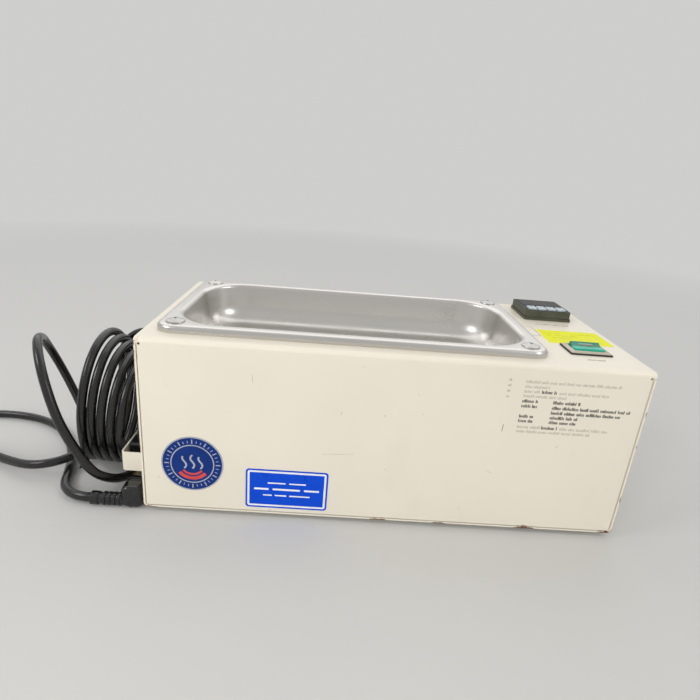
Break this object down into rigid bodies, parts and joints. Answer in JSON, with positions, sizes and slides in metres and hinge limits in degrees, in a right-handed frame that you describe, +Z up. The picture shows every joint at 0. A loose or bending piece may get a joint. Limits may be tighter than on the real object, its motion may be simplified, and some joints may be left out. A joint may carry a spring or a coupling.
{
  "type": "surgical solution warmer",
  "caption": "Benchtop solution warmer: painted steel case with a heated drop-in steel basin, temperature controller, lit rocker switch and a coiled mains lead.",
  "frame": {"origin": "under the middle of the case with its guard strap, on the plane of the feet", "axes": "+X along the case from the power inlet to the controls, +Y from the front to the back, +Z up"},
  "size_m": [0.6882, 0.2072, 0.178],
  "materials": {
    "beige_paint": "warm beige enamel, chipped along the edges",
    "stainless": "satin drawn stainless steel",
    "fastener_steel": "plain bright steel",
    "black_rubber": "matt black rubber",
    "heater_silicone": "orange silicone pad",
    "insulation": "pressed fibre insulation",
    "black_plastic": "moulded black plastic",
    "display_lens": "dark glossy window",
    "key_plastic": "pale grey-blue keys",
    "switch_frame": "glossy tan frame",
    "green_lens": "lit green rocker",
    "brass": "bright contacts",
    "cord_black": "satin black cord jacket and mouldings",
    "relay_cream": "cream moulding",
    "wire_dark": "insulated wire",
    "wire_red": "silicone wire",
    "label_navy": "printed vinyl label",
    "label_blue": "printed vinyl label",
    "label_yellow": "printed vinyl label"
  },
  "bodies": {
    "warmer": {"chassis": "beige_paint", "cover": "beige_paint", "cover_screws": "fastener_steel", "feet": "black_rubber", "foot_screws": "fastener_steel", "basin": "stainless", "basin_gasket": "black_rubber", "basin_washers": "fastener_steel", "basin_screws": "fastener_steel", "basin_nuts": "fastener_steel", "heater_pad": "heater_silicone", "insulation_jacket": "insulation", "thermal_cutoff": "black_plastic", "temperature_probe": "fastener_steel", "probe_clip": "fastener_steel", "controller_bezel": "black_plastic", "controller_lens": "display_lens", "controller_case": "black_plastic", "controller_clamp": "black_plastic", "switch_gasket": "black_rubber", "switch_bezel": "switch_frame", "switch_body": "black_plastic", "switch_terminals": "brass", "power_inlet": "black_plastic", "inlet_pins": "brass", "inlet_screws": "fastener_steel", "guard_bracket": "beige_paint", "guard_screws": "fastener_steel", "cord_connector": "cord_black", "cord_lead": "cord_black", "cord_coil": "cord_black", "cord_tail": "cord_black", "cord_tie": "cord_black", "plug_relief": "cord_black", "plug_body": "cord_black", "plug_blades": "brass", "solid_state_relay": "relay_cream", "relay_screws": "fastener_steel", "terminal_block": "relay_cream", "terminal_screws": "fastener_steel", "ground_stud": "brass", "supply_leads": "wire_dark", "heater_leads": "wire_red", "probe_lead": "wire_dark", "switch_leads": "wire_dark", "round_label": "label_navy", "asset_label": "label_blue", "deck_label": "label_yellow"},
    "rocker": {"switch_rocker": "green_lens"},
    "key_index_cap": {"key_index": "key_plastic"},
    "key_up_cap": {"key_up": "key_plastic"},
    "key_down_cap": {"key_down": "key_plastic"},
    "key_enter_cap": {"key_enter": "key_plastic"}
  },
  "joints": [
    {"name": "rocker_hinge", "type": "hinge", "parent": "warmer", "child": "rocker", "pos_m": [0.187, -0.05543, 0.164], "axis": [-1, 0, 0], "range_deg": [0, 16]},
    {"name": "key_index_press", "type": "slide", "parent": "warmer", "child": "key_index_cap", "axis": [0, 0, -1], "range_m": [0, 0.0006], "stiffness_N_per_m": 400},
    {"name": "key_up_press", "type": "slide", "parent": "warmer", "child": "key_up_cap", "axis": [0, 0, -1], "range_m": [0, 0.0006], "stiffness_N_per_m": 400},
    {"name": "key_down_press", "type": "slide", "parent": "warmer", "child": "key_down_cap", "axis": [0, 0, -1], "range_m": [0, 0.0006], "stiffness_N_per_m": 400},
    {"name": "key_enter_press", "type": "slide", "parent": "warmer", "child": "key_enter_cap", "axis": [0, 0, -1], "range_m": [0, 0.0006], "stiffness_N_per_m": 400}
  ]
}
